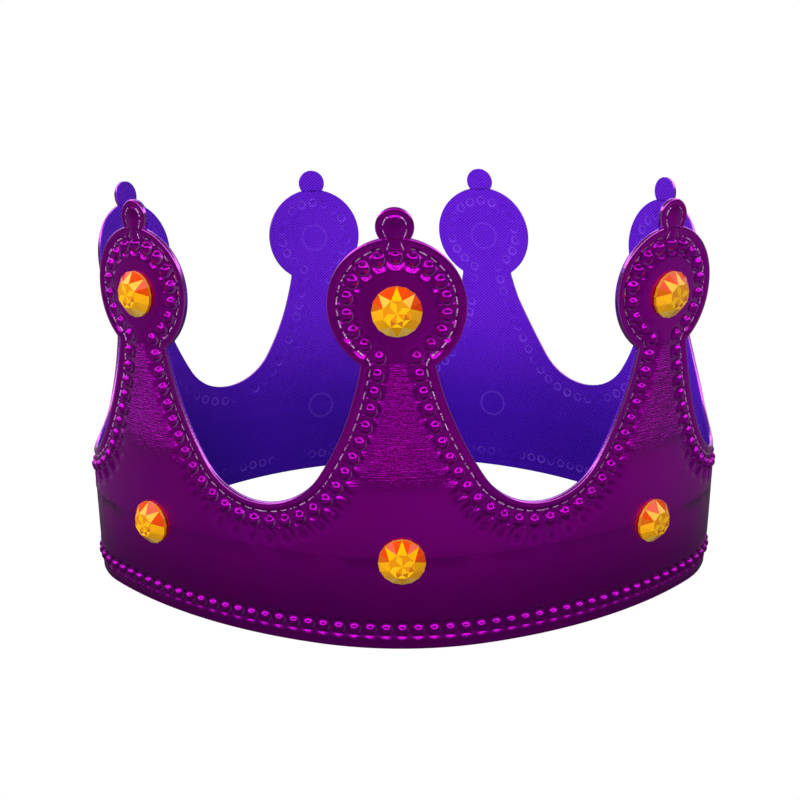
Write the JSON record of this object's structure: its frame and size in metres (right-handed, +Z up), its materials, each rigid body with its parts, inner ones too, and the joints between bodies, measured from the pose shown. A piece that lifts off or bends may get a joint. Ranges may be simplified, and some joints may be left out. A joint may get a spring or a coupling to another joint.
{
  "type": "paper crown",
  "caption": "Child's party crown: a die-cut embossed strip bent into a ring, with keyhole-shaped spikes, beaded edges, faceted stones and a lapped back",
  "frame": {"origin": "Middle of the bounding box, on the flat that the crown stands on", "axes": "+Z up, -Y to the front of the head, +X to the right in the front view"},
  "size_m": [0.2192, 0.175, 0.1301],
  "materials": {
    "foil": "embossed metallic purple foil on a thin padded sheet",
    "lining": "blue-violet twill-woven backing fabric",
    "stone": "amber faceted acrylic",
    "fastener_tape": "touch-fastener tape"
  },
  "bodies": {
    "root": {"front_sheet": "foil", "lining": "lining", "hook_tape": "fastener_tape", "loop_tape": "fastener_tape", "upper_gem_1": "stone", "upper_gem_2": "stone", "upper_gem_3": "stone", "upper_gem_4": "stone", "upper_gem_5": "stone", "upper_gem_6": "stone", "upper_gem_7": "stone", "lower_gem_1": "stone", "lower_gem_2": "stone", "lower_gem_3": "stone", "lower_gem_4": "stone", "lower_gem_5": "stone", "lower_gem_6": "stone", "lower_gem_7": "stone"}
  },
  "joints": []
}
